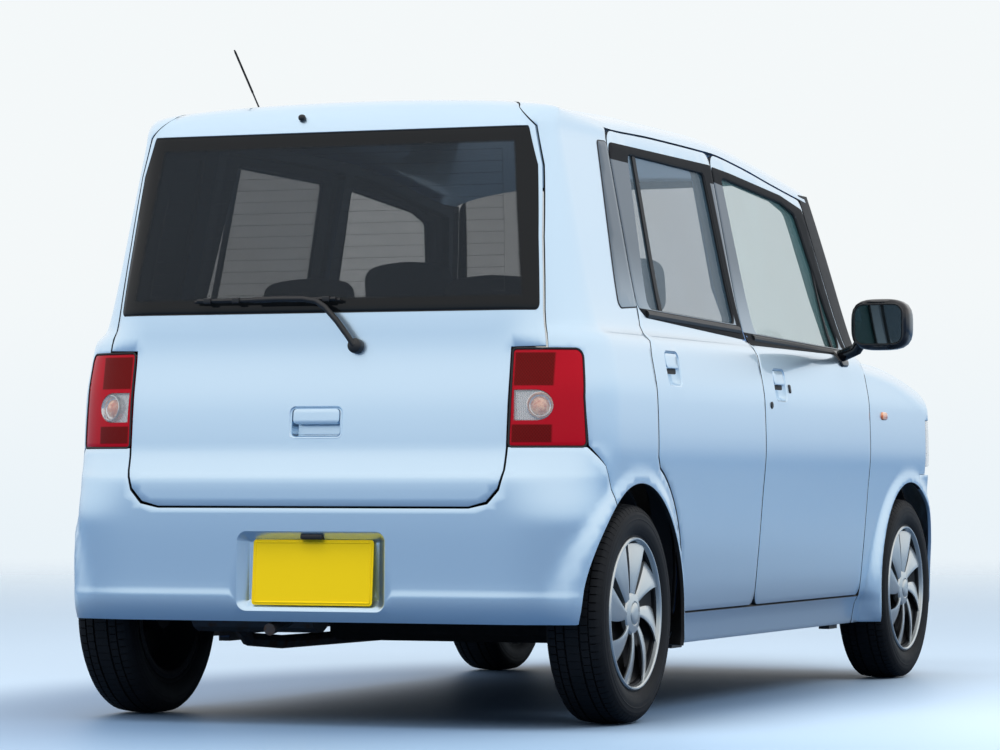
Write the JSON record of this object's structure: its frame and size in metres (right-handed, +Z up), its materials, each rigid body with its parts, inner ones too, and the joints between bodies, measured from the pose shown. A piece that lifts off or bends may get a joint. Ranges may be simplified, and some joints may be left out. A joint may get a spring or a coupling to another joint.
{
  "type": "kei car",
  "caption": "Tall five-door kei car with opening doors, tailgate and bonnet, steering front wheels and free-turning wheels.",
  "frame": {"origin": "on the ground, below the middle of the car's bounding box", "axes": "front of the car towards -Y, its left side towards +X, +Z up"},
  "size_m": [1.872, 3.395, 1.7442],
  "materials": {
    "paint": "pale blue metallic paint under clear lacquer",
    "glass": "dark tinted glass",
    "black": "black moulded plastic and black painted metal",
    "trim": "dark grey painted sheet and trim",
    "rubber": "black rubber",
    "cover": "silver painted plastic wheel cover on a steel wheel",
    "lamp": "red and clear lamp lens",
    "clear": "clear lamp lens over a bright bowl",
    "steel": "dark cast and pressed metal",
    "plate": "yellow painted plate without marks",
    "cloth": "dark grey woven seat cloth"
  },
  "bodies": {
    "body": {"aerial": "black", "body_side_left": "paint", "body_side_right": "paint", "dashboard": "trim", "engine_block": "steel", "exhaust": "steel", "floor_pan": "trim", "front_bumper": "paint", "front_plate": "plate", "front_seat_left": "cloth", "front_seat_right": "cloth", "front_structure": "black", "front_subframe": "black", "fuel_tank": "black", "grille": "black", "headlamp_left": "clear", "headlamp_right": "clear", "pillar_left": "paint", "pillar_right": "paint", "quarter_glass_left": "glass", "quarter_glass_right": "glass", "rear_axle": "black", "rear_bumper": "paint", "rear_plate": "plate", "rear_seat": "cloth", "roof_panel": "paint", "scuttle": "black", "side_frame_left": "trim", "side_frame_right": "trim", "steering_wheel": "black", "tail_lamp_left": "lamp", "tail_lamp_right": "lamp", "windscreen": "glass", "wing_left": "paint", "wing_right": "paint"},
    "door_front_left": {"door_front_left_panel": "paint", "glass_front_left": "glass", "mirror_left": "black"},
    "door_rear_left": {"door_rear_left_panel": "paint", "glass_rear_left": "glass"},
    "door_front_right": {"door_front_right_panel": "paint", "glass_front_right": "glass", "mirror_right": "black"},
    "door_rear_right": {"door_rear_right_panel": "paint", "glass_rear_right": "glass"},
    "tailgate": {"tailgate_panel": "paint", "tailgate_glass": "glass", "rear_wiper": "black"},
    "bonnet": {"bonnet": "paint"},
    "steer_left": {"knuckle_left": "steel"},
    "wheel_front_left": {"tyre_front_left": "rubber", "wheel_front_left_rim": "cover"},
    "wheel_rear_left": {"tyre_rear_left": "rubber", "wheel_rear_left_rim": "cover"},
    "steer_right": {"knuckle_right": "steel"},
    "wheel_front_right": {"tyre_front_right": "rubber", "wheel_front_right_rim": "cover"},
    "wheel_rear_right": {"tyre_rear_right": "rubber", "wheel_rear_right_rim": "cover"}
  },
  "joints": [
    {"name": "door_front_left_hinge", "type": "hinge", "parent": "body", "child": "door_front_left", "pos_m": [0.7375, -0.757, 0.27], "axis": [0, 0, -1], "range_deg": [0, 65]},
    {"name": "door_rear_left_hinge", "type": "hinge", "parent": "body", "child": "door_rear_left", "pos_m": [0.7375, 0.2675, 0.27], "axis": [0, 0, -1], "range_deg": [0, 75]},
    {"name": "door_front_right_hinge", "type": "hinge", "parent": "body", "child": "door_front_right", "pos_m": [-0.7375, -0.757, 0.27], "axis": [0, 0, 1], "range_deg": [0, 65]},
    {"name": "door_rear_right_hinge", "type": "hinge", "parent": "body", "child": "door_rear_right", "pos_m": [-0.7375, 0.2675, 0.27], "axis": [0, 0, 1], "range_deg": [0, 75]},
    {"name": "tailgate_hinge", "type": "hinge", "parent": "body", "child": "tailgate", "pos_m": [0, 1.425, 1.58685], "axis": [1, 0, 0], "range_deg": [0, 85]},
    {"name": "bonnet_hinge", "type": "hinge", "parent": "body", "child": "bonnet", "pos_m": [0, -0.925, 0.99187], "axis": [-1, 0, 0], "range_deg": [0, 55]},
    {"name": "steering_left", "type": "hinge", "parent": "body", "child": "steer_left", "pos_m": [0.515, -1.2, 0.2785], "axis": [0, 0, 1], "range_deg": [-30, 30]},
    {"name": "wheel_front_left_spin", "type": "hinge", "parent": "steer_left", "child": "wheel_front_left", "pos_m": [0.65, -1.2, 0.2785], "axis": [1, 0, 0], "continuous": true},
    {"name": "wheel_rear_left_spin", "type": "hinge", "parent": "body", "child": "wheel_rear_left", "pos_m": [0.65, 1.29, 0.2785], "axis": [1, 0, 0], "continuous": true},
    {"name": "steering_right", "type": "hinge", "parent": "body", "child": "steer_right", "pos_m": [-0.515, -1.2, 0.2785], "axis": [0, 0, 1], "range_deg": [-30, 30]},
    {"name": "wheel_front_right_spin", "type": "hinge", "parent": "steer_right", "child": "wheel_front_right", "pos_m": [-0.65, -1.2, 0.2785], "axis": [1, 0, 0], "continuous": true},
    {"name": "wheel_rear_right_spin", "type": "hinge", "parent": "body", "child": "wheel_rear_right", "pos_m": [-0.65, 1.29, 0.2785], "axis": [1, 0, 0], "continuous": true}
  ],
  "couplings": [
    {"joint": "steering_left", "follows": "steering_right", "ratio": 1}
  ]
}
